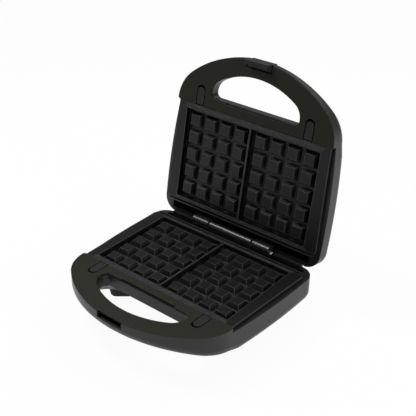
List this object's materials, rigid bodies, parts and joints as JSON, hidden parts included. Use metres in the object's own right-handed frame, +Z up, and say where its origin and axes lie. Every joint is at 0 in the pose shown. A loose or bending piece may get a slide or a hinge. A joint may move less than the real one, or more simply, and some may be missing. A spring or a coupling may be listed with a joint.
{
  "type": "waffle maker",
  "caption": "Open electric waffle maker with a hinged lid, loop handle, pegged plates, release clips, latch and feet.",
  "frame": {"origin": "on the surface it stands on, in the middle of its bounding box", "axes": "+X to the right seen from the handle, +Y towards the hinge, +Z up"},
  "size_m": [0.249, 0.2856, 0.2848],
  "materials": {
    "casing_plastic": "satin charcoal",
    "panel_plastic": "matt olive black",
    "clip_plastic": "satin",
    "nonstick_plate": "black non-stick coating",
    "heater_steel": "oxidised",
    "bright_steel": "rolled sheet",
    "pin_steel": "zinc plated",
    "foot_rubber": "matt",
    "control_ceramic": "unglazed",
    "block_plastic": "matt",
    "wire_sleeve": "braided sleeve",
    "red_lens": "translucent",
    "green_lens": "translucent",
    "lamp_glass": "clear"
  },
  "bodies": {
    "base": {"cord_gland": "foot_rubber", "foot_screws": "pin_steel", "front_left_foot": "foot_rubber", "front_right_foot": "foot_rubber", "hinge_pin": "pin_steel", "lower_bezel": "panel_plastic", "lower_casing": "casing_plastic", "lower_heater": "heater_steel", "lower_heater_clamps": "bright_steel", "lower_plate": "nonstick_plate", "lower_tray": "bright_steel", "lower_tray_screws": "pin_steel", "rear_left_foot": "foot_rubber", "rear_right_foot": "foot_rubber", "terminal_block": "block_plastic", "thermal_fuse": "control_ceramic", "thermostat": "control_ceramic", "wiring_loom": "wire_sleeve"},
    "lid": {"lamps": "lamp_glass", "latch_pin": "pin_steel", "power_lens": "red_lens", "ready_lens": "green_lens", "upper_bezel": "panel_plastic", "upper_casing": "casing_plastic", "upper_heater": "heater_steel", "upper_heater_clamps": "bright_steel", "upper_plate": "nonstick_plate", "upper_tray": "bright_steel", "upper_tray_screws": "pin_steel"},
    "latch": {"latch": "clip_plastic"},
    "lower_left_clip": {"lower_left_clip": "clip_plastic"},
    "lower_right_clip": {"lower_right_clip": "clip_plastic"},
    "upper_left_clip": {"upper_left_clip": "clip_plastic"},
    "upper_right_clip": {"upper_right_clip": "clip_plastic"}
  },
  "joints": [
    {"name": "lid_hinge", "type": "hinge", "parent": "base", "child": "lid", "pos_m": [0, 0.08515, 0.0605], "axis": [1, 0, 0], "range_deg": [0, 100.4]},
    {"name": "latch_pivot", "type": "hinge", "parent": "lid", "child": "latch", "pos_m": [0, 0.13291, 0.27642], "axis": [-1, 0, 0], "range_deg": [0, 22], "stiffness_Nm_per_rad": 0.03},
    {"name": "lower_left_clip_slide", "type": "slide", "parent": "base", "child": "lower_left_clip", "axis": [0, -1, 0], "range_m": [0, 0.0025], "stiffness_N_per_m": 400},
    {"name": "lower_right_clip_slide", "type": "slide", "parent": "base", "child": "lower_right_clip", "axis": [0, -1, 0], "range_m": [0, 0.0025], "stiffness_N_per_m": 400},
    {"name": "upper_left_clip_slide", "type": "slide", "parent": "lid", "child": "upper_left_clip", "axis": [0, 0.1805, 0.9836], "range_m": [0, 0.0025], "stiffness_N_per_m": 400},
    {"name": "upper_right_clip_slide", "type": "slide", "parent": "lid", "child": "upper_right_clip", "axis": [0, 0.1805, 0.9836], "range_m": [0, 0.0025], "stiffness_N_per_m": 400}
  ]
}
